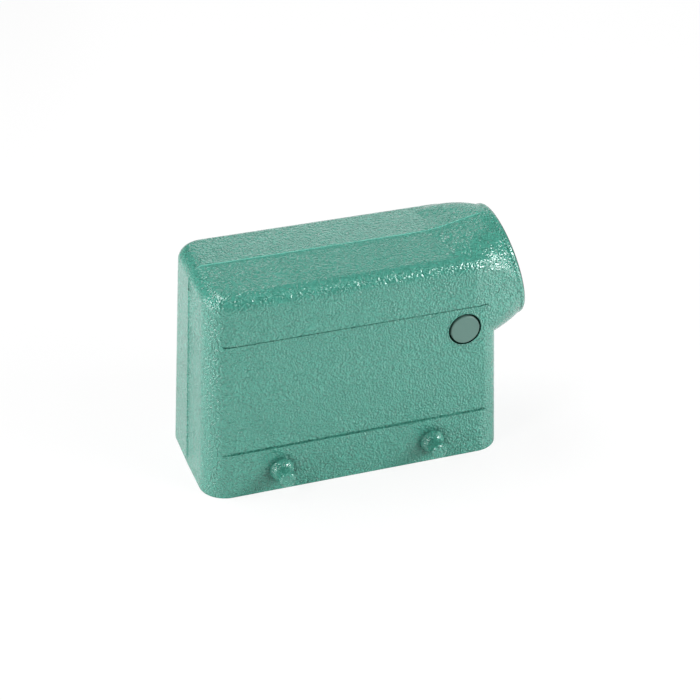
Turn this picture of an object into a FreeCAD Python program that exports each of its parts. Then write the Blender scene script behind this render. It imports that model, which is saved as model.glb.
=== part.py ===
import FreeCAD, Part
import math
import os
import Sketcher

# Heavy-duty rectangular connector hood with a tilted side cable entry: one aluminium die casting with
# four locking pegs cast on it, and a small marker button pressed into a seat in its long face.
# Row frame: X along the hood towards the cable entry, Y across it, +Z up from the open mating rim.
# The origin is the centre of the rim, in the plane of the rim. Millimetres and degrees.

SIZES = [
    # alias, value, what it is
    ("body_length", 94.0, "casting at the rim, along X"),
    ("body_width", 43.0, "casting at the rim, along Y"),
    ("body_height", 66.9, "rim to the parting line on the top"),
    ("end_draft", 2.4, "lean of the end walls, degrees"),
    ("side_draft", 1.55, "lean of the long walls, degrees"),
    ("roof_draft", 3.0, "fall of the top away from the parting plane, degrees"),
    ("bow_draft", 0.8, "fall of the end walls away from the parting plane, degrees"),
    ("corner_radius", 8.1, "vertical outside corners"),
    ("top_radius", 4.2, "edge round the top"),
    ("wall", 3.0, "casting wall"),
    ("rim_wall", 2.4, "wall at the mating rim"),
    ("seat_depth", 4.5, "rim to the faces of the insert bosses"),
    ("screw_spacing_x", 77.5, "insert fixing screws along X"),
    ("screw_spacing_y", 27.0, "insert fixing screws along Y"),
    ("screw_core", 3.3, "core diameter of the M4 insert threads"),
    ("screw_depth", 12.0, "depth of the M4 insert threads"),
    ("boss_size", 9.6, "side of an insert boss"),
    ("boss_height", 17.0, "height of an insert boss above its face"),
    ("boss_round", 2.0, "inner edge of an insert boss"),
    ("collar_diameter", 35.0, "outside of the cable entry's collar"),
    ("collar_tilt", 13.5, "upward tilt of the cable entry, degrees"),
    ("collar_reach", 5.6, "centre of the collar's face beyond the end of the rim"),
    ("collar_z", 54.1, "centre of the collar's face above the rim"),
    ("collar_round", 1.5, "edge of the collar's face"),
    ("collar_land", 2.0, "round part of the collar behind its face"),
    ("nose_root", 30.0, "collar's face back to the nose's first section, inside the body"),
    ("nose_belly", 17.9, "nose's underside below the entry's axis, at its root"),
    ("root_inset", 1.2, "flanks of the first section inside the body's skin"),
    ("root_round", 9.0, "lower corners of the first section"),
    ("root_sink", 0.3, "ridge of the first section below the roof"),
    ("nose_waist", 15.0, "collar's face back to the nose's second section"),
    ("waist_inset", 0.15, "flanks of the second section inside the body's skin"),
    ("waist_round_high", 8.0, "upper corners of the second section"),
    ("waist_round_low", 14.0, "lower corners of the second section"),
    ("waist_swell", 0.3, "ridge of the second section above the collar's top"),
    ("nose_neck", 7.0, "collar's face back to the nose's third section"),
    ("neck_inset", 1.0, "flanks of the third section inside the body's skin"),
    ("neck_round_high", 12.0, "upper corners of the third section"),
    ("neck_round_low", 16.0, "lower corners of the third section"),
    ("neck_swell", 0.1, "ridge of the third section above the collar's top"),
    ("flank_start", 14.4, "collar's face back to where the flat flanks of the nose start"),
    ("flank_inset", 0.19, "flat flanks inside the body's skin where they start"),
    ("entry_core", 23.4, "core diameter of the M25 x 1.5 entry thread"),
    ("entry_thread", 12.0, "length of the entry thread"),
    ("entry_chamfer", 1.0, "lead-in of the entry thread"),
    ("throat_diameter", 27.0, "passage behind the entry thread"),
    ("throat_root", 19.0, "collar's face back to where the passage opens into the hollow"),
    ("throat_round", 5.0, "corners of the passage where it opens into the hollow"),
    ("throat_floor", 2.0, "passage's floor above the nose's underside, where it opens into the hollow"),
    ("panel_low", 14.8, "lower line of the long face's panel"),
    ("panel_high", 51.0, "upper line of the long face's panel"),
    ("panel_depth", 0.4, "panel below the band above it"),
    ("seam_width", 0.5, "grooves along the panel's two lines"),
    ("seam_depth", 0.35, "grooves below the panel"),
    ("peg_spacing", 47.3, "locking pegs along X"),
    ("peg_height", 7.0, "locking pegs above the rim"),
    ("peg_diameter", 4.9, "locking peg"),
    ("peg_reach", 27.8, "peg's end from the parting plane"),
    ("peg_chamfer", 0.45, "edge of a peg's end"),
    ("knuckle_diameter", 7.7, "ball under a peg"),
    ("knuckle_sink", 0.7, "ball's centre inside the skin at the rim"),
    ("button_diameter", 8.8, "marker button"),
    ("button_x", 33.2, "marker button along X"),
    ("button_z", 43.6, "marker button up the long face"),
    ("button_proud", 0.45, "marker button proud of the panel"),
    ("button_seat", 1.3, "seat of the button below the panel"),
    ("button_moat", 0.6, "width of the ring groove round the button"),
    ("moat_depth", 0.8, "ring groove below the panel"),
    ("button_clearance", 0.05, "gap round the button in its seat"),
    ("button_edge", 0.2, "edge of the button"),
    ("button_dish", 0.2, "dish inside the button's raised rim"),
    ("button_rim", 0.65, "width of the button's raised rim"),
]

doc = FreeCAD.newDocument("connector_hood")
sheet = doc.addObject("Spreadsheet::Sheet", "sizes")
for row, (alias, value, meaning) in enumerate(SIZES, start=1):
    sheet.set(f"A{row}", alias)
    sheet.set(f"B{row}", str(value))
    sheet.set(f"C{row}", meaning)
    sheet.setAlias(f"B{row}", alias)
doc.recompute()

# Expressions that several features share.
HALF_LENGTH = "sizes.body_length / 2"
HALF_WIDTH = "sizes.body_width / 2"
SCREW_X = "sizes.screw_spacing_x / 2"
SCREW_Y = "sizes.screw_spacing_y / 2"
COLLAR = "sizes.collar_diameter / 2"
COLLAR_X = "(sizes.body_length / 2 + sizes.collar_reach)"
BUTTON_DEPTH = "sizes.panel_depth + sizes.button_seat"


def half_width_at(height):
    """Half of the casting's width at a height above the rim."""
    return f"({HALF_WIDTH} - ({height}) * tan(sizes.side_draft))"


def number(owner, expression):
    """The value that an expression on the sheet has now."""
    return float(owner.evalExpression(expression))


def make_body(name):
    body = doc.addObject("PartDesign::Body", name)
    doc.recompute()
    return body


def plane_of(body, role):
    return next(f for f in body.Origin.OriginFeatures if f.Role == role)


def add_sketch(body, name, role, shift=("0", "0", "0"), turn=None):
    """A sketch on one of the body's own planes, shifted along that plane's axes and turned about its X."""
    sketch = body.newObject("Sketcher::SketchObject", name)
    sketch.AttachmentSupport = (plane_of(body, role), [""])
    sketch.MapMode = "FlatFace"
    places = [number(sketch, expression) for expression in shift]
    angle = number(sketch, turn) if turn else 0
    turned = FreeCAD.Rotation(FreeCAD.Vector(1, 0, 0), angle)
    sketch.AttachmentOffset = FreeCAD.Placement(FreeCAD.Vector(*places), turned)
    for axis, expression in zip("xyz", shift):
        sketch.setExpression(f"AttachmentOffset.Base.{axis}", expression)
    if turn:
        sketch.setExpression("AttachmentOffset.Rotation.Angle", turn)
    doc.recompute()
    return sketch


def bind(sketch, kind, places, expression):
    """Adds a sized constraint and ties its size to the sheet."""
    index = sketch.addConstraint(Sketcher.Constraint(kind, *places, number(sketch, expression)))
    sketch.setExpression(f"Constraints[{index}]", expression)


def draw_outline(sketch, corners):
    """A closed outline through corners (x, y, rounding), each an expression; rounding may be None."""
    points = [FreeCAD.Vector(number(sketch, x), number(sketch, y), 0) for x, y, _ in corners]
    first = sketch.GeometryCount
    count = len(points)
    for i, point in enumerate(points):
        sketch.addGeometry(Part.LineSegment(point, points[(i + 1) % count]), False)
    for i in range(count):
        sketch.addConstraint(Sketcher.Constraint("Coincident", first + i, 2, first + (i + 1) % count, 1))
    for i, (x, y, _) in enumerate(corners):
        bind(sketch, "DistanceX", (-1, 1, first + i, 1), x)
        bind(sketch, "DistanceY", (-1, 1, first + i, 1), y)
    middles = [(point + points[(i + 1) % count]) * 0.5 for i, point in enumerate(points)]
    for i, (_, _, rounding) in enumerate(corners):
        if rounding:
            radius = number(sketch, rounding)
            before = (i - 1) % count
            sketch.fillet(first + before, first + i, middles[before], middles[i], radius, True, True)
            arcs = [g for g in range(sketch.GeometryCount)
                    if sketch.Geometry[g].TypeId == "Part::GeomArcOfCircle"]
            bind(sketch, "Radius", (arcs[-1],), rounding)
    doc.recompute()


def draw_circle(sketch, diameter, x=None, y=None):
    """A circle of a given diameter, at the sketch's origin unless x and y are given."""
    places = [number(sketch, expression) if expression else 0 for expression in (x, y)]
    centre = FreeCAD.Vector(*places, 0)
    size = number(sketch, diameter)
    circle = sketch.addGeometry(Part.Circle(centre, FreeCAD.Vector(0, 0, 1), size / 2), False)
    if x:
        bind(sketch, "DistanceX", (-1, 1, circle, 3), x)
        bind(sketch, "DistanceY", (-1, 1, circle, 3), y)
    else:
        sketch.addConstraint(Sketcher.Constraint("Coincident", circle, 3, -1, 1))
    bind(sketch, "Diameter", (circle,), diameter)
    doc.recompute()


def finish(body, feature):
    """Recomputes the document and makes a feature the body's last one."""
    body.Tip = feature
    doc.recompute()
    return feature


def add_loft(body, name, profile, sections, ruled=True, cut=False):
    kind = "PartDesign::SubtractiveLoft" if cut else "PartDesign::AdditiveLoft"
    loft = body.newObject(kind, name)
    loft.Profile = profile
    loft.Sections = [(section, [""]) for section in sections]
    loft.Ruled = ruled
    return finish(body, loft)


def add_pad(body, name, profile, length):
    pad = body.newObject("PartDesign::Pad", name)
    pad.Profile = profile
    pad.setExpression("Length", length)
    return finish(body, pad)


def add_pocket(body, name, profile, length, back=None, up=False):
    """A pocket against the sketch's normal, or along it where up is set; back cuts the other way too."""
    pocket = body.newObject("PartDesign::Pocket", name)
    pocket.Profile = profile
    pocket.Reversed = up
    pocket.setExpression("Length", length)
    if back:
        pocket.SideType = "Two sides"
        pocket.setExpression("Length2", back)
    return finish(body, pocket)


def add_draft(body, name, base, wanted, angle):
    """Leans the faces that a test picks out inwards, about where they meet the rim."""
    faces = [f"Face{i}" for i, face in enumerate(base.Shape.Faces, start=1) if wanted(face)]
    draft = body.newObject("PartDesign::Draft", name)
    draft.Base = (base, faces)
    draft.NeutralPlane = (plane_of(body, "XY_Plane"), [""])
    draft.setExpression("Angle", angle)
    return finish(body, draft)


def add_revolution(body, name, profile):
    """Turns a profile a full turn about its sketch's vertical axis."""
    revolution = body.newObject("PartDesign::Revolution", name)
    revolution.Profile = profile
    revolution.ReferenceAxis = (profile, ["V_Axis"])
    revolution.Angle = 360
    return finish(body, revolution)


def add_edge_feature(body, kind, name, base, wanted, size, expression):
    """A fillet or chamfer on the edges of a feature that a test picks out."""
    edges = [f"Edge{i}" for i, edge in enumerate(base.Shape.Edges, start=1) if wanted(edge)]
    feature = body.newObject(f"PartDesign::{kind}", name)
    feature.Base = (base, edges)
    feature.setExpression(size, expression)
    return finish(body, feature)


# The casting's outside.

def end_outline(sketch, half_length, half_width):
    """A rectangle whose two ends fall away from the parting plane on both sides."""
    corner = f"({half_length}) - ({half_width}) * tan(sizes.bow_draft)"
    draw_outline(sketch, [
        (half_length, "0", None), (corner, half_width, None), (f"-({corner})", half_width, None),
        (f"-({half_length})", "0", None), (f"-({corner})", f"-({half_width})", None),
        (corner, f"-({half_width})", None)])


def long_wall(face):
    return abs(face.normalAt(0, 0).y) > 0.9


def end_wall(face):
    return abs(face.normalAt(0, 0).x) > 0.9


def upright_corner(edge):
    """Is this one of the four edges where a long wall meets an end wall?"""
    low, high = edge.BoundBox.ZMin, edge.BoundBox.ZMax
    return high - low > number(sheet, "sizes.body_height / 2") and edge.BoundBox.YLength < high - low \
        and abs(edge.CenterOfMass.y) > 1


def drafted_block(body, inset, corner_round):
    """A block, an inset inside the body's outside: leaning walls, round upright corners, a falling roof."""
    rim = add_sketch(body, "rim_outline", "XY_Plane")
    end_outline(rim, f"{HALF_LENGTH} - {inset}", f"{HALF_WIDTH} - {inset}")
    height = f"(sizes.body_height - {inset})"
    block = add_pad(body, "block", rim, height)
    sides = add_draft(body, "long_walls", block, long_wall, "sizes.side_draft")
    add_draft(body, "end_walls", sides, end_wall, "sizes.end_draft")
    roof = add_sketch(body, "roof_profile", "YZ_Plane")
    eaves = f"{height} - sizes.body_width * tan(sizes.roof_draft)"
    above = "sizes.body_height + sizes.body_width"
    draw_outline(roof, [
        ("0", height, None), ("sizes.body_width", eaves, None), ("sizes.body_width", above, None),
        ("-sizes.body_width", above, None), ("-sizes.body_width", eaves, None)])
    roofed = add_pocket(body, "roof_cut", roof, "sizes.body_length", "sizes.body_length")
    return add_edge_feature(
        body, "Fillet", "upright_corners", roofed, upright_corner, "Radius", corner_round)


def make_shell(body):
    """The body's outside, with the edge round its top taken off."""
    block = drafted_block(body, "0", "sizes.corner_radius")
    top = number(sheet, "sizes.body_height")
    low = number(sheet, "sizes.body_height - sizes.body_width * tan(sizes.roof_draft)")

    def round_the_top(edge):
        """Is this edge on the border of the top, and not the parting line across it?"""
        box = edge.BoundBox
        return box.ZMin > low and not (box.ZMin > top - 0.01 and box.YLength < 0.01)

    return add_edge_feature(body, "Fillet", "top_edges", block, round_the_top, "Radius", "sizes.top_radius")


def entry_plane(body, name, depth="0"):
    """A sketch square to the entry's axis, at a depth behind the collar's face."""
    along = f"{COLLAR_X} - ({depth}) * cos(sizes.collar_tilt)"
    up = f"sizes.collar_z - ({depth}) * sin(sizes.collar_tilt)"
    return add_sketch(body, name, "YZ_Plane", ("0", up, along), "-sizes.collar_tilt")


def roof_above_axis(depth):
    """Height of the roof's ridge above the entry's axis at a depth behind the collar's face."""
    return (f"(({depth}) * tan(sizes.collar_tilt)"
            " + (sizes.body_height - sizes.collar_z) / cos(sizes.collar_tilt))")


def belly_below_axis(depth):
    """The nose's underside below the entry's axis, which falls straight from the collar to the root."""
    fall = f"(sizes.nose_belly - {COLLAR}) / (sizes.nose_root - sizes.collar_land)"
    return f"({COLLAR} + (({depth}) - sizes.collar_land) * {fall})"


def nose_section(body, name, depth, ridge, inset, rounds, belly_inset="0"):
    """A section of the nose square to the entry's axis: a ridged top, flanks inside the body's, a belly."""
    sketch = entry_plane(body, name, depth)
    belly = belly_below_axis(depth)
    belly_height = f"sizes.collar_z - ({depth}) * sin(sizes.collar_tilt) - {belly} * cos(sizes.collar_tilt)"
    shoulder = f"({half_width_at('sizes.body_height')} - {inset})"
    flank = f"({half_width_at(belly_height)} - {inset})"
    eaves = f"({ridge} - {shoulder} * tan(sizes.roof_draft))"
    bottom = f"-({belly} - {belly_inset})"
    high_round, low_round = rounds
    draw_outline(sketch, [
        ("0", ridge, None), (shoulder, eaves, high_round), (flank, bottom, low_round),
        (f"-{flank}", bottom, low_round), (f"-{shoulder}", eaves, high_round)])
    return sketch


def cut_flanks(body):
    """Flattens the nose's two flanks: each runs straight from the body's skin to the collar's side."""
    start = f"({half_width_at('sizes.collar_z')} - sizes.flank_inset)"
    slope = f"(({start} - {COLLAR}) / (sizes.flank_start - sizes.collar_land))"
    behind = "(sizes.flank_start + sizes.wall)"
    rear = f"({COLLAR} + {slope} * ({behind} - sizes.collar_land))"
    outside = "sizes.body_width"
    cuts = add_sketch(body, "flank_cuts", "XY_Plane", (COLLAR_X, "0", "sizes.collar_z"))
    cuts.AttachmentOffset = FreeCAD.Placement(
        cuts.AttachmentOffset.Base,
        FreeCAD.Rotation(FreeCAD.Vector(0, 1, 0), -number(sheet, "sizes.collar_tilt")))
    cuts.setExpression("AttachmentOffset.Rotation.Angle", "-sizes.collar_tilt")
    front = "-sizes.collar_land"
    for side in (1, -1):
        draw_outline(cuts, [
            (front, f"{side} * {COLLAR}", None), (front, f"{side} * {outside}", None),
            (f"-{behind}", f"{side} * {outside}", None), (f"-{behind}", f"{side} * {rear}", None)])
    return add_pocket(body, "flanks", cuts, COLLAR, COLLAR)


def on_collar_face(edge):
    """Does this edge lie in the plane of the collar's face?"""
    tilt = number(sheet, "sizes.collar_tilt")
    outward = FreeCAD.Vector(math.cos(math.radians(tilt)), 0, math.sin(math.radians(tilt)))
    centre = FreeCAD.Vector(number(sheet, COLLAR_X), 0, number(sheet, "sizes.collar_z"))
    return all(abs((vertex.Point - centre).dot(outward)) < 0.01 for vertex in edge.Vertexes)


def make_nose(body):
    """The nose swells out of the roof and the end, and runs on into a round collar, tilted up."""
    root = nose_section(body, "nose_root", "sizes.nose_root",
                        f"{roof_above_axis('sizes.nose_root')} - sizes.root_sink",
                        "sizes.root_inset", ("sizes.top_radius", "sizes.root_round"))
    waist = nose_section(body, "nose_waist", "sizes.nose_waist", f"{COLLAR} + sizes.waist_swell",
                         "sizes.waist_inset", ("sizes.waist_round_high", "sizes.waist_round_low"))
    neck = nose_section(body, "nose_neck", "sizes.nose_neck", f"{COLLAR} + sizes.neck_swell",
                        "sizes.neck_inset", ("sizes.neck_round_high", "sizes.neck_round_low"))
    ring = entry_plane(body, "collar_ring", "sizes.collar_land")
    draw_circle(ring, "sizes.collar_diameter")
    add_loft(body, "nose", root, [waist, neck, ring], ruled=False)
    cut_flanks(body)
    collar = add_pad(body, "collar", ring, "sizes.collar_land")
    return add_edge_feature(
        body, "Fillet", "collar_edge", collar, on_collar_face, "Radius", "sizes.collar_round")


def face_plane(body, name, depth="0"):
    """A sketch on the pictured long face, lying in its lean, at a depth under its skin."""
    return add_sketch(body, name, "XZ_Plane", ("0", "0", f"{HALF_WIDTH} - ({depth})"), "-sizes.side_draft")


def make_panel(body):
    """The shallow panel of the long face and the grooves along its lower and upper lines."""
    panel = face_plane(body, "panel_outline")
    draw_outline(panel, [
        ("sizes.body_length", "sizes.panel_low", None), ("sizes.body_length", "sizes.panel_high", None),
        ("-sizes.body_length", "sizes.panel_high", None), ("-sizes.body_length", "sizes.panel_low", None)])
    sunk = add_pocket(body, "panel", panel, "sizes.panel_depth", "sizes.wall")
    seams = face_plane(body, "seam_outlines")
    lower_line = "(sizes.panel_low - sizes.seam_width / 2)"
    upper_line = "(sizes.panel_high - sizes.seam_width)"
    for foot in (lower_line, upper_line):
        top = f"({foot} + sizes.seam_width)"
        draw_outline(seams, [
            ("sizes.body_length", foot, None), ("sizes.body_length", top, None),
            ("-sizes.body_length", top, None), ("-sizes.body_length", foot, None)])
    groove = add_pocket(body, "seams", seams, "sizes.panel_depth + sizes.seam_depth", "sizes.wall")
    return [sunk, groove]


def make_peg(body, name, x):
    """A locking peg, turned about an axis across the hood, and the ball that it stands on."""
    ball = body.newObject("PartDesign::AdditiveSphere", f"{name}_knuckle")
    ball.AttachmentSupport = (plane_of(body, "XY_Plane"), [""])
    ball.MapMode = "FlatFace"
    ball.setExpression("Radius", "sizes.knuckle_diameter / 2")
    ball.setExpression("AttachmentOffset.Base.x", x)
    ball.setExpression("AttachmentOffset.Base.y", f"-({HALF_WIDTH} - sizes.knuckle_sink)")
    ball.setExpression("AttachmentOffset.Base.z", "sizes.peg_height")
    finish(body, ball)
    profile = add_sketch(body, f"{name}_profile", "XY_Plane", (x, "0", "sizes.peg_height"))
    root = f"-({HALF_WIDTH} - sizes.wall / 2)"
    pin = "sizes.peg_diameter / 2"
    draw_outline(profile, [
        ("0", root, None), (pin, root, None), (pin, "-(sizes.peg_reach - sizes.peg_chamfer)", None),
        (f"{pin} - sizes.peg_chamfer", "-sizes.peg_reach", None), ("0", "-sizes.peg_reach", None)])
    return [ball, add_revolution(body, name, profile)]


def make_face_details(body):
    """Panels and pegs on the pictured face, and the same again on the far one."""
    details = make_panel(body)
    half = "sizes.peg_spacing / 2"
    details += make_peg(body, "far_peg", f"-{half}")
    details += make_peg(body, "near_peg", half)
    mirror = body.newObject("PartDesign::Mirrored", "both_faces")
    mirror.Originals = details
    mirror.MirrorPlane = (plane_of(body, "XZ_Plane"), [""])
    return finish(body, mirror)


def cut_button_seat(body):
    """The marker button's blind seat and the ring groove round it, in the pictured long face only."""
    seat = face_plane(body, "button_seat_outline")
    seat_diameter = "sizes.button_diameter + 2 * sizes.button_clearance"
    draw_circle(seat, seat_diameter, "sizes.button_x", "sizes.button_z")
    add_pocket(body, "button_seat", seat, BUTTON_DEPTH, "sizes.wall")
    moat = face_plane(body, "button_moat_outline")
    moat_diameter = "sizes.button_diameter + 2 * sizes.button_moat"
    draw_circle(moat, moat_diameter, "sizes.button_x", "sizes.button_z")
    return add_pocket(body, "button_moat", moat, "sizes.panel_depth + sizes.moat_depth", "sizes.wall")


def hollow_out(body):
    """The hollow that a core leaves in the casting, and the step at its rim."""
    core = make_body("hollow_core")
    drafted_block(core, "sizes.wall", "sizes.corner_radius - sizes.wall")
    hollow = body.newObject("PartDesign::Boolean", "hollow")
    hollow.Type = "Cut"
    hollow.setObjects([core])
    finish(body, hollow)
    step = add_sketch(body, "rim_step_outline", "XY_Plane")
    half_length = f"({HALF_LENGTH} - {HALF_WIDTH} * tan(sizes.bow_draft) - sizes.rim_wall)"
    half_width = f"({HALF_WIDTH} - sizes.rim_wall)"
    rounding = "sizes.corner_radius - sizes.rim_wall"
    draw_outline(step, [
        (half_length, half_width, rounding), (f"-{half_length}", half_width, rounding),
        (f"-{half_length}", f"-{half_width}", rounding), (half_length, f"-{half_width}", rounding)])
    return add_pocket(body, "rim_step", step, "sizes.seat_depth", up=True)


def cut_throat(body):
    """The way from the hollow into the entry: wide where it opens into the hollow, round at the thread."""
    root = nose_section(body, "throat_root", "sizes.throat_root", f"({COLLAR} - sizes.wall)", "sizes.wall",
                        ("sizes.throat_round", "sizes.throat_round"), "sizes.throat_floor")
    neck = entry_plane(body, "throat_neck", "sizes.entry_thread")
    draw_circle(neck, "sizes.throat_diameter")
    return add_loft(body, "throat", root, [neck], cut=True)


def cut_entry(body):
    """The core of the entry thread, bored from the collar's face, and its lead-in."""
    face = entry_plane(body, "entry_outline")
    draw_circle(face, "sizes.entry_core")
    bore = add_pocket(body, "entry", face, "sizes.entry_thread + sizes.wall")

    def mouth(edge):
        """Is this the bore's edge at the collar's face?"""
        return on_collar_face(edge) and abs(edge.Length - math.pi * number(sheet, "sizes.entry_core")) < 0.1

    return add_edge_feature(body, "Chamfer", "entry_lead", bore, mouth, "Size", "sizes.entry_chamfer")


def make_bosses(body):
    """Four bosses in the corners of the hollow, each with a blind hole for an insert's fixing screw."""
    for name, along, across in (("a", 1, 1), ("b", -1, 1), ("c", -1, -1), ("d", 1, -1)):
        outline = add_sketch(body, f"boss_{name}_outline", "XY_Plane", ("0", "0", "sizes.seat_depth"))
        inner_x = f"{along} * ({SCREW_X} - sizes.boss_size / 2)"
        inner_y = f"{across} * ({SCREW_Y} - sizes.boss_size / 2)"
        outer_x = f"{along} * ({HALF_LENGTH} - {HALF_WIDTH} * tan(sizes.bow_draft) - sizes.wall / 2)"
        outer_y = f"{across} * ({HALF_WIDTH} - sizes.wall / 2)"
        draw_outline(outline, [
            (inner_x, inner_y, "sizes.boss_round"), (outer_x, inner_y, None),
            (outer_x, outer_y, "sizes.corner_radius - sizes.wall / 2"), (inner_x, outer_y, None)])
        add_pad(body, f"boss_{name}", outline, "sizes.boss_height")
    holes = add_sketch(body, "screw_holes_outline", "XY_Plane", ("0", "0", "sizes.seat_depth"))
    for along, across in ((1, 1), (-1, 1), (-1, -1), (1, -1)):
        draw_circle(holes, "sizes.screw_core", f"{along} * {SCREW_X}", f"{across} * {SCREW_Y}")
    return add_pocket(body, "screw_holes", holes, "sizes.screw_depth", up=True)


def make_casting():
    body = make_body("hood_casting")
    make_shell(body)
    make_nose(body)
    make_face_details(body)
    cut_button_seat(body)
    hollow_out(body)
    cut_throat(body)
    cut_entry(body)
    make_bosses(body)
    return body


def make_button():
    """The round marker button: a plain disc with a raised rim, standing in its seat."""
    body = make_body("marker_button")
    outline = face_plane(body, "button_outline", BUTTON_DEPTH)
    draw_circle(outline, "sizes.button_diameter", "sizes.button_x", "sizes.button_z")
    disc = add_pad(body, "disc", outline, "sizes.button_seat + sizes.button_proud")
    middle = disc.Shape.BoundBox.Center.y

    def outer(edge):
        """Is this the edge round the button's outer face?"""
        return edge.Closed and edge.CenterOfMass.y < middle

    add_edge_feature(body, "Chamfer", "button_edge_taper", disc, outer, "Size", "sizes.button_edge")
    dish = face_plane(body, "dish_outline", "sizes.panel_depth - sizes.button_proud")
    draw_circle(dish, "sizes.button_diameter - 2 * sizes.button_rim", "sizes.button_x", "sizes.button_z")
    add_pocket(body, "dish", dish, "sizes.button_dish")
    return body


casting = make_casting()
button = make_button()
doc.recompute()
for item in doc.Objects:
    if "Invalid" in item.State or "Error" in item.State:
        raise RuntimeError(f"{item.Name} did not build: {item.State}")
os.makedirs("parts", exist_ok=True)
for piece in (casting, button):
    if piece.Shape.isNull() or not piece.Shape.isValid():
        raise RuntimeError(f"{piece.Label} has no valid solid")
    piece.Shape.exportStep(f"parts/{piece.Label}.step")
    print(f"{piece.Label}: {piece.Shape.Volume / 1000:.2f} cm3")
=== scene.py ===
"""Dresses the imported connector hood: coat, marker button, parting line, threads, studio and camera."""
import math

import bpy
import numpy as np
from mathutils import Matrix, Vector


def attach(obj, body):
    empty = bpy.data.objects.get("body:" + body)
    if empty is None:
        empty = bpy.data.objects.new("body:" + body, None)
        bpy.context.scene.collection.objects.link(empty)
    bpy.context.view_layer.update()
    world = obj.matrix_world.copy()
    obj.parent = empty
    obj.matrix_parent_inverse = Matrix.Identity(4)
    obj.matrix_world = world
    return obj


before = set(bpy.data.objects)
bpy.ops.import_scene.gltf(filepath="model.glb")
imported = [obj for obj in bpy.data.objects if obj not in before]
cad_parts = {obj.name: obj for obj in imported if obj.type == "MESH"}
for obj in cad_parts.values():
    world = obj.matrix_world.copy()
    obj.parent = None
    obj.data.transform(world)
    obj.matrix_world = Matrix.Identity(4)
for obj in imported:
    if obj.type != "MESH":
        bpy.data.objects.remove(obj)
bpy.context.view_layer.update()
MM = 0.001

# Camera as fitted to the photograph: azimuth, elevation and roll in radians, lengths in millimetres.
CAMERA_AZIMUTH = 0.3389
CAMERA_ELEVATION = 0.5594
CAMERA_ROLL = 0.0141
CAMERA_DISTANCE = 586.87
CAMERA_TARGET = (4.642, 0.125, 29.977)
FOCAL_PIXELS = 1951.55
PICTURE_SIDE = 700
SENSOR_WIDTH = 36.0

# Colours of the finishes, as linear shares of red, green and blue.
COAT_COLOUR = (0.066, 0.298, 0.228)
# The top ridge's lighter colour is a painted highlight along the parting line.
RIDGE_HIGHLIGHT_COLOUR = (0.130, 0.450, 0.360)
BUTTON_COLOUR = (0.088, 0.180, 0.152)
METAL_COLOUR = (0.56, 0.57, 0.58)
FLOOR_COLOUR = (0.92, 0.92, 0.92)

# How rough the finishes are, and how strongly the coat's glossy skin bends light.
PAINT_ROUGHNESS = 0.6
METAL_ROUGHNESS = 0.34
PLASTIC_ROUGHNESS = 0.42
FLOOR_ROUGHNESS = 0.3
SKIN_IOR = 1.6

# The casting's own places, in millimetres and radians.
ENTRY_CENTRE = (52.6, 0.0, 54.1)
ENTRY_TILT = math.radians(13.5)
ENTRY_RADIUS = 11.7
SCREW_X = 38.75
SCREW_Y = 13.5
SCREW_FACE = 4.5
SCREW_RADIUS = 1.65
HALF_WIDTH = 21.5
SIDE_DRAFT = math.radians(1.55)
GROOVE_HEIGHT = 50.75
PEG_X = 23.65
PEG_Z = 7.0
BUTTON_X = 33.2
BUTTON_Z = 43.6
BUTTON_SEAT = 5.0

# Where the coat is bare, proud or darkened with painted shade, in millimetres.
BARE_ENTRY_RADIUS = 12.75
BARE_ENTRY_DEPTH = 12.9
BARE_SCREW_RADIUS = 1.70
BARE_SCREW_HEIGHT = 18.0
COLLAR_FACE_RADIUS = 16.25
COLLAR_EDGE_DEPTH = 0.20
GROOVE_FLOOR_TOP = 0.5
GROOVE_FLOOR_BOTTOM = 0.9
GROOVE_HALF_LENGTH = 39.5
GROOVE_HALF_WIDTH = 0.20
BALL_RADIUS = 3.7
FOOT_RADIUS = 3.8
LIP_RADIUS = BUTTON_SEAT + 0.25
GAP_RADIUS = BUTTON_SEAT + 0.02

# How strong the lip and the painted shades are, as shares of the full height or of the full darkness.
LIP_HEIGHT = 0.35
GROOVE_SHADE = 0.7
FOOT_SHADE = 0.35

# The noise that bends the wrinkles: its scale as a share of theirs, its reach as a share of a wrinkle.
BEND_SCALE = 0.6
BEND_REACH = 0.7

# The coat's tone, as shares of its colour: valleys darker and crests lighter as painted shade and light,
# the painted shades, and its slow unevenness.
VALLEY_TONE = 0.90
CREST_TONE = 1.05
SHADE_TONE = 0.10
VALLEY_HEIGHT = 0.34
CREST_HEIGHT = 0.66
SLOW_SCALE = 120.0
SLOW_SHARE = 0.08

# The parting ridge's cross-section, in millimetres across and from the skin.
RIDGE_HALF_WIDTH = 0.22
RIDGE_HEIGHT = 0.20
RIDGE_SKIRT = -0.04
RIDGE_FOOT = -0.20

# How deep the ridge's ends sink, over how many points, and where the rays that find the outline cross.
RIDGE_END_SINK = 0.3
RIDGE_END_POINTS = 5
OUTLINE_MIDDLE = (5, 0, 30)
OUTLINE_REACH = 200.0

# The threads: the root's depth, the sleeve's wall, the flanks' shape and how far in the threads start.
ROOT_DEPTH = 0.01
SLEEVE_WALL = 0.2
FLANK_GAIN = 1.7
ROOT_SHARE = 0.35
ENTRY_THREAD_START = 0.9
SCREW_THREAD_START = 0.05

# The studio, in millimetres. The floor is a hair below the rim so that the faces don't coincide.
# Its lift is the share of plain white that the camera sees in it.
FLOOR_HALF_SIDE = 4000.0
FLOOR_DROP = 0.05
FLOOR_LIFT = 0.85
LAMP_TARGET = (5, 0, 35)


# node trees

def new_material(name):
    """An empty node material; returns it with its node maker and its links."""
    material = bpy.data.materials.new(name)
    material.use_nodes = True
    tree = material.node_tree
    tree.nodes.clear()
    return material, tree.nodes, tree.links


def add_node(nodes, kind, **settings):
    """Adds a node and sets its named properties, and its inputs where the name is an input's."""
    node = nodes.new(kind)
    for key, value in settings.items():
        if key in node.inputs:
            node.inputs[key].default_value = value
        else:
            setattr(node, key, value)
    return node


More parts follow.
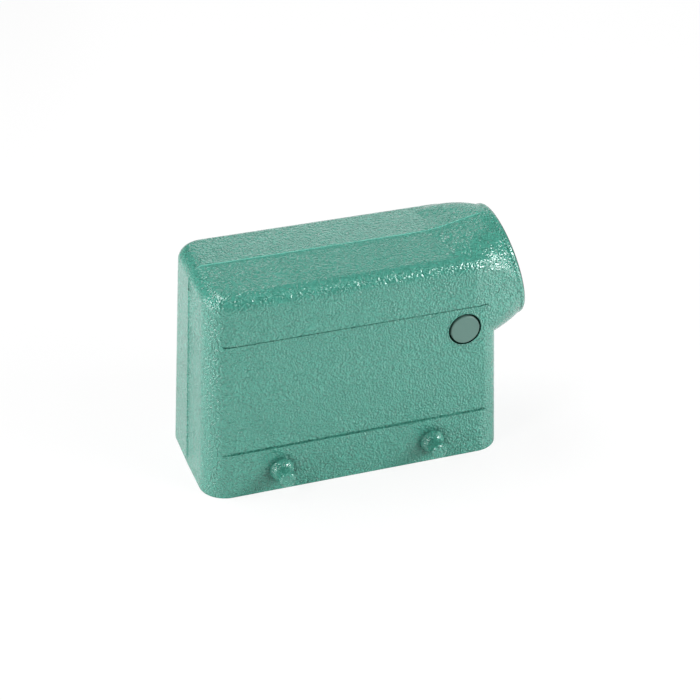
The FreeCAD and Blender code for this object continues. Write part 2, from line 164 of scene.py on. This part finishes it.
def show_surface(nodes, links, shader):
    """Joins a shader's result to the material's output."""
    output = add_node(nodes, "ShaderNodeOutputMaterial")
    links.new(shader.outputs[0], output.inputs["Surface"])


def grain_pattern(nodes, links, scale):
    """Noise on the piece's own coordinates, from 0 to 1; the scale is in grains per metre."""
    place = add_node(nodes, "ShaderNodeTexCoord")
    grain = add_node(nodes, "ShaderNodeTexNoise", Scale=scale, Detail=2.0, Roughness=0.5)
    links.new(place.outputs["Object"], grain.inputs["Vector"])
    return grain.outputs["Fac"]


def uneven_gloss(nodes, links, pattern, roughness, spread):
    """A roughness that follows a pattern from 0 to 1, by at most the spread to either side."""
    gloss = add_node(nodes, "ShaderNodeMapRange")
    gloss.inputs["To Min"].default_value = roughness - spread
    gloss.inputs["To Max"].default_value = roughness + spread
    links.new(pattern, gloss.inputs["Value"])
    return gloss.outputs["Result"]


def tone_ramp(nodes, links, pattern, colour, low, high):
    """A colour that follows a pattern; low and high are each a place on it and a share of the colour."""
    ramp = add_node(nodes, "ShaderNodeValToRGB")
    for element, (position, share) in zip(ramp.color_ramp.elements, (low, high)):
        element.position = position
        element.color = (*[share * part for part in colour], 1)
    links.new(pattern, ramp.inputs["Fac"])
    return ramp.outputs["Color"]


def paint_over(nodes, links, share, under, colour):
    """The colour underneath, replaced by a plain colour where the share is 1."""
    mix = add_node(nodes, "ShaderNodeMix", data_type="RGBA")
    mix.inputs["B"].default_value = (*colour, 1)
    links.new(share, mix.inputs["Factor"])
    links.new(under, mix.inputs["A"])
    return mix.outputs["Result"]


class Maths:
    """Builds sums in a node tree; each call returns the socket that holds its result."""

    def __init__(self, nodes, links):
        self.nodes = nodes
        self.links = links

    def __call__(self, operation, *values):
        node = add_node(self.nodes, "ShaderNodeMath", operation=operation)
        for place, value in zip(node.inputs, values):
            if isinstance(value, (int, float)):
                place.default_value = value
            else:
                self.links.new(value, place)
        return node.outputs[0]

    def length(self, first, second):
        """Distance made by two ways at right angles: the root of the sum of their squares."""
        squares = [self("MULTIPLY", way, way) for way in (first, second)]
        return self("SQRT", self("ADD", *squares))

    def within(self, value, limit, soft):
        """1 up to the limit, falling smoothly to 0 over the soft stretch past it, both in millimetres."""
        node = add_node(self.nodes, "ShaderNodeMapRange", interpolation_type="SMOOTHSTEP")
        node.inputs["From Min"].default_value = limit * MM
        node.inputs["From Max"].default_value = (limit + soft) * MM
        node.inputs["To Min"].default_value = 1.0
        node.inputs["To Max"].default_value = 0.0
        self.links.new(value, node.inputs["Value"])
        return node.outputs["Result"]


# places on the casting that the coat marks

def entry_places(maths, x, y, z):
    """Depth behind the collar's face and distance from the entry's axis, in metres."""
    ahead_x = math.cos(ENTRY_TILT)
    ahead_z = math.sin(ENTRY_TILT)
    from_x = maths("SUBTRACT", x, ENTRY_CENTRE[0] * MM)
    from_z = maths("SUBTRACT", z, ENTRY_CENTRE[2] * MM)
    along = maths("ADD", maths("MULTIPLY", from_x, ahead_x), maths("MULTIPLY", from_z, ahead_z))
    across = maths("SUBTRACT", maths("MULTIPLY", from_z, ahead_x), maths("MULTIPLY", from_x, ahead_z))
    return maths("MULTIPLY", along, -1.0), maths.length(across, y)


def bare_share(maths, x, y, z, depth, radius):
    """1 in the entry's bore and in the four screw holes, which stand in a rectangle; 0 elsewhere."""
    near_axis = maths.within(radius, BARE_ENTRY_RADIUS, soft=0.05)
    in_entry = maths("MULTIPLY", near_axis, maths.within(depth, BARE_ENTRY_DEPTH, soft=0.1))
    along = maths("SUBTRACT", maths("ABSOLUTE", x), SCREW_X * MM)
    across = maths("SUBTRACT", maths("ABSOLUTE", y), SCREW_Y * MM)
    near_screw = maths.within(maths.length(along, across), BARE_SCREW_RADIUS, soft=0.05)
    in_screw_hole = maths("MULTIPLY", near_screw, maths.within(z, BARE_SCREW_HEIGHT, soft=0.1))
    return maths("MAXIMUM", in_entry, in_screw_hole)


def button_radius(maths, x, y, z):
    """Distance from the button's axis on the pictured face, in metres; far away on the other face."""
    along = maths("SUBTRACT", x, BUTTON_X * MM)
    up = maths("SUBTRACT", z, BUTTON_Z * MM)
    return maths("ADD", maths.length(along, up), maths("GREATER_THAN", y, 0.0))


def edge_share(maths, depth, radius):
    """1 on the rounded edge of the collar's face, 0 elsewhere; painted shade darkens the coat there to a
    dark line.
    """
    outside = maths("GREATER_THAN", radius, COLLAR_FACE_RADIUS * MM)
    return maths("MULTIPLY", maths.within(depth, COLLAR_EDGE_DEPTH, soft=0.35), outside)


def groove_share(maths, x, y, z):
    """1 on the floor of the groove along the panel's upper line, 0 elsewhere; painted shade darkens the
    coat there.
    """
    lean = maths("MULTIPLY", z, math.tan(SIDE_DRAFT))
    sunk = maths("SUBTRACT", maths("SUBTRACT", HALF_WIDTH * MM, maths("ABSOLUTE", y)), lean)
    below = maths("GREATER_THAN", sunk, GROOVE_FLOOR_TOP * MM)
    above = maths("LESS_THAN", sunk, GROOVE_FLOOR_BOTTOM * MM)
    on_floor = maths("MULTIPLY", below, above)
    away = maths("ABSOLUTE", maths("SUBTRACT", z, GROOVE_HEIGHT * MM))
    along = maths.within(maths("ABSOLUTE", x), GROOVE_HALF_LENGTH, soft=1.0)
    on_face = maths("MULTIPLY", on_floor, along)
    return maths("MULTIPLY", on_face, maths.within(away, GROOVE_HALF_WIDTH, soft=0.07))


def foot_shade_share(maths, x, z):
    """1 at the foot of the pegs' balls, fading out over the wall: painted shade where the balls shade the
    wall.
    """
    along = maths("SUBTRACT", maths("ABSOLUTE", x), PEG_X * MM)
    up = maths("SUBTRACT", z, PEG_Z * MM)
    radius = maths.length(along, up)
    outside = maths("GREATER_THAN", radius, BALL_RADIUS * MM)
    return maths("MULTIPLY", outside, maths.within(radius, FOOT_RADIUS, soft=2.2))


# materials

def wrinkle_pattern(nodes, links, place, size):
    """Noise as fine as the size in millimetres, read at places that a coarser noise has shifted."""
    bend = add_node(nodes, "ShaderNodeTexNoise", Scale=BEND_SCALE / (size * MM), Detail=0.0)
    centre = add_node(nodes, "ShaderNodeVectorMath", operation="SUBTRACT")
    centre.inputs[1].default_value = (0.5, 0.5, 0.5)
    shift = add_node(nodes, "ShaderNodeVectorMath", operation="SCALE")
    shift.inputs["Scale"].default_value = BEND_REACH * size * MM
    moved = add_node(nodes, "ShaderNodeVectorMath", operation="ADD")
    wrinkle = add_node(nodes, "ShaderNodeTexNoise", Scale=1.0 / (size * MM), Detail=0.0)
    links.new(place, bend.inputs["Vector"])
    links.new(bend.outputs["Color"], centre.inputs[0])
    links.new(centre.outputs["Vector"], shift.inputs[0])
    links.new(place, moved.inputs[0])
    links.new(shift.outputs["Vector"], moved.inputs[1])
    links.new(moved.outputs["Vector"], wrinkle.inputs["Vector"])
    return wrinkle.outputs["Fac"]


def powder_coat(name, colour, wrinkle_depth, gloss_depth, wrinkle_size, roughness):
    """A wrinkled coat under a shallower glossy skin, with bare metal in the tapped holes.

    The depths and the size of the wrinkles are in millimetres. The coat piles up to a soft lip round the
    button's seat. The gap inside the lip, the collar's edge, the groove and the pegs' feet are darkened
    with painted shade, where shade falls.
    """
    material, nodes, links = new_material(name)
    maths = Maths(nodes, links)
    place = add_node(nodes, "ShaderNodeTexCoord").outputs["Object"]
    split = add_node(nodes, "ShaderNodeSeparateXYZ")
    links.new(place, split.inputs[0])
    x, y, z = split.outputs
    depth, radius = entry_places(maths, x, y, z)
    wrinkle = wrinkle_pattern(nodes, links, place, wrinkle_size)

    bare = bare_share(maths, x, y, z, depth, radius)
    on_edge = edge_share(maths, depth, radius)
    from_button = button_radius(maths, x, y, z)
    # Painted shade: the button's gap, the collar's edge, the groove and the pegs' feet take a darker
    # colour where shade falls.
    gap_shade = maths.within(from_button, GAP_RADIUS, soft=0.06)
    groove_shade = maths("MULTIPLY", groove_share(maths, x, y, z), GROOVE_SHADE)
    foot_shade = maths("MULTIPLY", foot_shade_share(maths, x, z), FOOT_SHADE)
    painted_shade = maths("MAXIMUM", maths("MAXIMUM", gap_shade, on_edge), maths("MAXIMUM", groove_shade, foot_shade))

    from_lip = maths("ABSOLUTE", maths("SUBTRACT", from_button, LIP_RADIUS * MM))
    lip = maths("MULTIPLY", maths.within(from_lip, 0.0, soft=0.4), LIP_HEIGHT)
    wrinkled = maths("SUBTRACT", 1.0, maths("MAXIMUM", bare, on_edge))
    height = maths("ADD", maths("MULTIPLY", wrinkle, wrinkled), lip)
    bump = add_node(nodes, "ShaderNodeBump", Strength=1.0, Distance=wrinkle_depth * MM)
    skin_bump = add_node(nodes, "ShaderNodeBump", Strength=1.0, Distance=gloss_depth * MM)
    links.new(height, bump.inputs["Height"])
    links.new(height, skin_bump.inputs["Height"])

    slow = maths("MULTIPLY", grain_pattern(nodes, links, SLOW_SCALE), SLOW_SHARE)
    # Painted shade and light: the wrinkles' valleys are darker and their crests lighter; the slow noise
    # is the coat's own unevenness.
    tone = maths("ADD", maths("MULTIPLY", wrinkle, 1.0 - SLOW_SHARE), slow)
    valley = (VALLEY_HEIGHT, VALLEY_TONE)
    crest = (CREST_HEIGHT, CREST_TONE)
    paint = tone_ramp(nodes, links, tone, colour, low=valley, high=crest)
    paint = paint_over(nodes, links, painted_shade, paint, [SHADE_TONE * part for part in colour])
    paint = paint_over(nodes, links, bare, paint, METAL_COLOUR)

    shader = add_node(nodes, "ShaderNodeBsdfPrincipled")
    shader.inputs["Coat IOR"].default_value = SKIN_IOR
    shader.inputs["Specular IOR Level"].default_value = 0.0
    smoother = maths("MULTIPLY", bare, PAINT_ROUGHNESS - METAL_ROUGHNESS)
    skin = maths("SUBTRACT", 1.0, maths("MAXIMUM", bare, painted_shade))
    skin_gloss = uneven_gloss(nodes, links, wrinkle, roughness, spread=0.05)
    links.new(paint, shader.inputs["Base Color"])
    links.new(bare, shader.inputs["Metallic"])
    links.new(maths("SUBTRACT", PAINT_ROUGHNESS, smoother), shader.inputs["Roughness"])
    links.new(bump.outputs["Normal"], shader.inputs["Normal"])
    links.new(skin, shader.inputs["Coat Weight"])
    links.new(skin_gloss, shader.inputs["Coat Roughness"])
    links.new(skin_bump.outputs["Normal"], shader.inputs["Coat Normal"])
    show_surface(nodes, links, shader)
    return material


def moulded_plastic(name, colour, roughness):
    """Satin moulded plastic: a very fine grain in its relief and its tone."""
    material, nodes, links = new_material(name)
    grain = grain_pattern(nodes, links, scale=3500.0)
    tone = tone_ramp(nodes, links, grain, colour, low=(0.0, 0.92), high=(1.0, 1.08))
    bump = add_node(nodes, "ShaderNodeBump", Strength=1.0, Distance=0.01 * MM)
    links.new(grain, bump.inputs["Height"])
    shader = add_node(nodes, "ShaderNodeBsdfPrincipled", Roughness=roughness)
    links.new(tone, shader.inputs["Base Color"])
    links.new(bump.outputs["Normal"], shader.inputs["Normal"])
    show_surface(nodes, links, shader)
    return material


def machined_metal(name, colour, roughness):
    """Bare cut aluminium: a metal with a fine unevenness in its gloss."""
    material, nodes, links = new_material(name)
    grain = grain_pattern(nodes, links, scale=2000.0)
    gloss = uneven_gloss(nodes, links, grain, roughness, spread=0.06)
    shader = add_node(nodes, "ShaderNodeBsdfPrincipled", Metallic=1.0)
    shader.inputs["Base Color"].default_value = (*colour, 1)
    links.new(gloss, shader.inputs["Roughness"])
    show_surface(nodes, links, shader)
    return material


def studio_floor():
    """Glossy pale table, lifted to white where the camera sees it, so that only the shadow shows."""
    material, nodes, links = new_material("studio_floor")
    paint = add_node(nodes, "ShaderNodeBsdfPrincipled", Roughness=FLOOR_ROUGHNESS)
    paint.inputs["Base Color"].default_value = (*FLOOR_COLOUR, 1)
    glow = add_node(nodes, "ShaderNodeEmission", Strength=1.0)
    path = add_node(nodes, "ShaderNodeLightPath")
    mix = add_node(nodes, "ShaderNodeMixShader")
    lifted = Maths(nodes, links)("MULTIPLY", path.outputs["Is Camera Ray"], FLOOR_LIFT)
    links.new(lifted, mix.inputs["Fac"])
    links.new(paint.outputs[0], mix.inputs[1])
    links.new(glow.outputs[0], mix.inputs[2])
    show_surface(nodes, links, mix)
    return material


coat = powder_coat("wrinkled_coat", COAT_COLOUR,
                   wrinkle_depth=1.0, gloss_depth=0.25, wrinkle_size=0.60, roughness=0.12)
# Painted highlight: the top parting ridge gets a lighter coat.
ridge_highlight_coat = powder_coat("ridge_highlight_coat", RIDGE_HIGHLIGHT_COLOUR,
                         wrinkle_depth=0.10, gloss_depth=0.06, wrinkle_size=0.60, roughness=0.20)
plastic = moulded_plastic("button_plastic", BUTTON_COLOUR, PLASTIC_ROUGHNESS)
metal = machined_metal("machined_aluminium", METAL_COLOUR, METAL_ROUGHNESS)
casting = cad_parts["hood_casting"]
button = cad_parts["marker_button"]
casting.material_slots[0].material = coat
button.material_slots[0].material = plastic


# pieces that the CAD leaves to this scene: the parting line and the threads

def ring_grid(rings, around):
    """Quads that join neighbouring rings of points; each ring is closed, and the rings are in order."""
    ring = np.arange(rings - 1)[:, None] * around
    step = np.arange(around)[None, :]
    after = (step + 1) % around
    quads = np.stack([ring + step, ring + around + step, ring + around + after, ring + after], axis=-1)
    return quads.reshape(-1, 4)


def add_piece(name, points, faces, material):
    """A smooth mesh object from points in millimetres and faces, riding on the casting's body."""
    mesh = bpy.data.meshes.new(name)
    mesh.from_pydata((np.asarray(points) * MM).tolist(), [], faces)
    mesh.polygons.foreach_set("use_smooth", np.ones(len(mesh.polygons), dtype=bool))
    mesh.materials.append(material)
    piece = bpy.data.objects.new(name, mesh)
    bpy.context.scene.collection.objects.link(piece)
    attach(piece, "root")


def outline_points(first, last, count):
    """Points of the casting's skin in its parting plane, met from outside at angles round a middle."""
    inverse = casting.matrix_world.inverted()
    points = []
    for angle in np.radians(np.linspace(first, last, count)):
        outward = Vector((math.cos(angle), 0, math.sin(angle)))
        start = (Vector(OUTLINE_MIDDLE) + OUTLINE_REACH * outward) * MM
        hit, place = casting.ray_cast(inverse @ start, inverse.to_3x3() @ -outward)[:2]
        if hit:
            points.append(casting.matrix_world @ place / MM)
    return np.array(points)


def add_parting_ridge(name, first, last, count, material):
    """A low ridge along the casting's outline, between two angles in degrees.

    Each point of the outline carries a ring of four: one to either side just under the skin, the crest
    above the skin and the foot inside the metal. A ring's point is the outline's point, plus its way
    across times the Y direction, plus its height times the outline's outward normal. The outward normal
    is the outline's own direction turned by a quarter in its plane. The ends sink into the skin.
    """
    line = outline_points(first, last, count)
    along = np.gradient(line, axis=0)
    along /= np.linalg.norm(along, axis=1)[:, None]
    outward = np.stack([along[:, 2], np.zeros(len(line)), -along[:, 0]], axis=1)
    outward *= np.sign(np.sum(outward * (line - OUTLINE_MIDDLE), axis=1))[:, None]
    across = np.array([-RIDGE_HALF_WIDTH, 0.0, RIDGE_HALF_WIDTH, 0.0])
    proud = np.array([RIDGE_SKIRT, RIDGE_HEIGHT, RIDGE_SKIRT, RIDGE_FOOT])
    place = np.arange(len(line))
    from_end = np.minimum(place, place[::-1]) / RIDGE_END_POINTS
    sunk = RIDGE_END_SINK * np.clip(1 - from_end, 0, 1)
    sideways = np.array([0.0, 1.0, 0.0])
    heights = proud[None, :, None] - sunk[:, None, None]
    points = line[:, None] + across[:, None] * sideways + heights * outward[:, None]
    caps = [[0, 1, 2, 3], [4 * len(line) - i for i in (1, 2, 3, 4)]]
    faces = ring_grid(len(line), 4).tolist() + caps
    add_piece(name, points.reshape(-1, 3), faces, material)


def add_thread(name, mouth, inward, radius, pitch, length, ridge, around, steps):
    """A tapped hole's thread: a thin sleeve in the bore whose inner wall is a helical ridge.

    The inner wall's radius is the bore's, less the ridge's height times a trapezoid wave of the way
    along the bore minus the angle's share of a pitch. The wave fades out at both ends. The outer wall is
    in the metal. The last ring is the first one again, so the sleeve is closed.
    """
    inward = np.array(inward)
    side = np.array([0.0, 1.0, 0.0])
    other = np.cross(inward, side)
    angle = np.linspace(0, 2 * np.pi, around, endpoint=False)[None, :]
    way = np.linspace(0, length, steps)[:, None]
    wave = 1 - np.abs(2 * ((way / pitch - angle / (2 * np.pi)) % 1) - 1)
    trapezoid = np.clip(FLANK_GAIN * wave - ROOT_SHARE, 0, 1)
    fading = np.clip(way / pitch, 0, 1) * np.clip((length - way) / pitch, 0, 1)
    inner = radius + ROOT_DEPTH - ridge * fading * trapezoid
    outer = np.full((1, around), radius + SLEEVE_WALL)
    walls = np.concatenate([outer, inner, outer, outer])
    ways = np.concatenate([way[:1], way, way[-1:], way[:1]])
    spokes = np.cos(angle)[..., None] * side + np.sin(angle)[..., None] * other
    points = np.array(mouth) + ways[..., None] * inward + walls[..., None] * spokes
    faces = ring_grid(len(walls), around)
    last_ring = around * (len(walls) - 1)
    wrapped = np.where(faces >= last_ring, faces - last_ring, faces)
    add_piece(name, points[:-1].reshape(-1, 3), wrapped.tolist(), metal)


add_parting_ridge("parting_ridge_left", first=209.6, last=143.5, count=160, material=coat)
add_parting_ridge("parting_ridge_top", first=143.0, last=44.2, count=300, material=ridge_highlight_coat)
add_parting_ridge("parting_ridge_right", first=6.5, last=-35.0, count=120, material=coat)

into_entry = np.array([-math.cos(ENTRY_TILT), 0.0, -math.sin(ENTRY_TILT)])
entry_start = np.array(ENTRY_CENTRE) + ENTRY_THREAD_START * into_entry
add_thread("entry_thread", entry_start, into_entry, ENTRY_RADIUS,
           pitch=1.5, length=11.0, ridge=0.42, around=144, steps=89)
for number, (side_x, side_y) in enumerate(((1, 1), (-1, 1), (-1, -1), (1, -1)), start=1):
    screw_start = (side_x * SCREW_X, side_y * SCREW_Y, SCREW_FACE + SCREW_THREAD_START)
    add_thread(f"screw_thread_{number}", screw_start, (0.0, 0.0, 1.0), SCREW_RADIUS,
               pitch=0.7, length=9.8, ridge=0.2, around=28, steps=99)


# floor, lamps, world and camera

def make_floor():
    """A flat square under the hood that takes its shadow."""
    side = FLOOR_HALF_SIDE * MM
    low = -FLOOR_DROP * MM
    mesh = bpy.data.meshes.new("floor")
    corners = [(-side, -side, low), (side, -side, low), (side, side, low), (-side, side, low)]
    mesh.from_pydata(corners, [], [(0, 1, 2, 3)])
    floor = bpy.data.objects.new("floor", mesh)
    bpy.context.scene.collection.objects.link(floor)
    mesh.materials.append(studio_floor())


def softbox(name, place, width, height, power):
    """A rectangular white lamp that faces the hood's middle; lengths in millimetres, power in watts."""
    lamp = bpy.data.lights.new(name, "AREA")
    lamp.shape = "RECTANGLE"
    lamp.size = width * MM
    lamp.size_y = height * MM
    lamp.energy = power
    holder = bpy.data.objects.new(name, lamp)
    bpy.context.scene.collection.objects.link(holder)
    holder.location = Vector(place) * MM
    aim = Vector(LAMP_TARGET) * MM - holder.location
    holder.rotation_euler = aim.to_track_quat("-Z", "Y").to_euler()


def make_world(strength):
    """White to the camera's own view, and an even plain light at the given strength for all the rest."""
    world = bpy.data.worlds.new("studio")
    bpy.context.scene.world = world
    world.use_nodes = True
    nodes = world.node_tree.nodes
    links = world.node_tree.links
    nodes.clear()
    plain = add_node(nodes, "ShaderNodeBackground", Strength=strength)
    seen = add_node(nodes, "ShaderNodeBackground", Strength=1.0)
    for background in (plain, seen):
        background.inputs["Color"].default_value = (1, 1, 1, 1)
    path = add_node(nodes, "ShaderNodeLightPath")
    mix = add_node(nodes, "ShaderNodeMixShader")
    links.new(path.outputs["Is Camera Ray"], mix.inputs["Fac"])
    links.new(plain.outputs[0], mix.inputs[1])
    links.new(seen.outputs[0], mix.inputs[2])
    output = add_node(nodes, "ShaderNodeOutputWorld")
    links.new(mix.outputs[0], output.inputs["Surface"])


def make_camera():
    """Stands where the photograph was taken from: turned round the target, raised, then rolled."""
    azimuth, elevation, roll = CAMERA_AZIMUTH, CAMERA_ELEVATION, CAMERA_ROLL
    right = Vector((math.cos(azimuth), -math.sin(azimuth), 0))
    ahead = Vector((math.sin(azimuth) * math.cos(elevation), math.cos(azimuth) * math.cos(elevation),
                    -math.sin(elevation)))
    up = right.cross(ahead)
    rolled_right = math.cos(roll) * right + math.sin(roll) * up
    rolled_up = math.cos(roll) * up - math.sin(roll) * right
    camera = bpy.data.objects.new("camera", bpy.data.cameras.new("camera"))
    bpy.context.scene.collection.objects.link(camera)
    camera.data.sensor_width = SENSOR_WIDTH
    camera.data.lens = FOCAL_PIXELS * SENSOR_WIDTH / PICTURE_SIDE
    camera.data.clip_start = 0.05
    camera.data.clip_end = 20.0
    turn = Matrix((rolled_right, rolled_up, -ahead)).transposed().to_4x4()
    turn.translation = (Vector(CAMERA_TARGET) - CAMERA_DISTANCE * ahead) * MM
    camera.matrix_world = turn
    bpy.context.scene.camera = camera


make_floor()
softbox("left_key", (-513, -252, 434), width=160, height=130, power=1.5)
softbox("right_key", (531, -355, 331), width=440, height=160, power=4.3)
softbox("right_low", (585, -370, 60), width=420, height=100, power=0.8)
softbox("left_low", (-620, -260, 60), width=200, height=90, power=1.0)
softbox("front_high", (215, -315, 616), width=100, height=100, power=0.35)
softbox("left_side", (-690, 130, 140), width=300, height=250, power=2.1)
softbox("overhead", (-220, 200, 630), width=400, height=300, power=2.9)
softbox("back_low", (330, 600, 210), width=600, height=360, power=0.9)
make_world(0.07)
make_camera()
bpy.context.scene.view_settings.view_transform = "Standard"

bpy.context.view_layer.update()
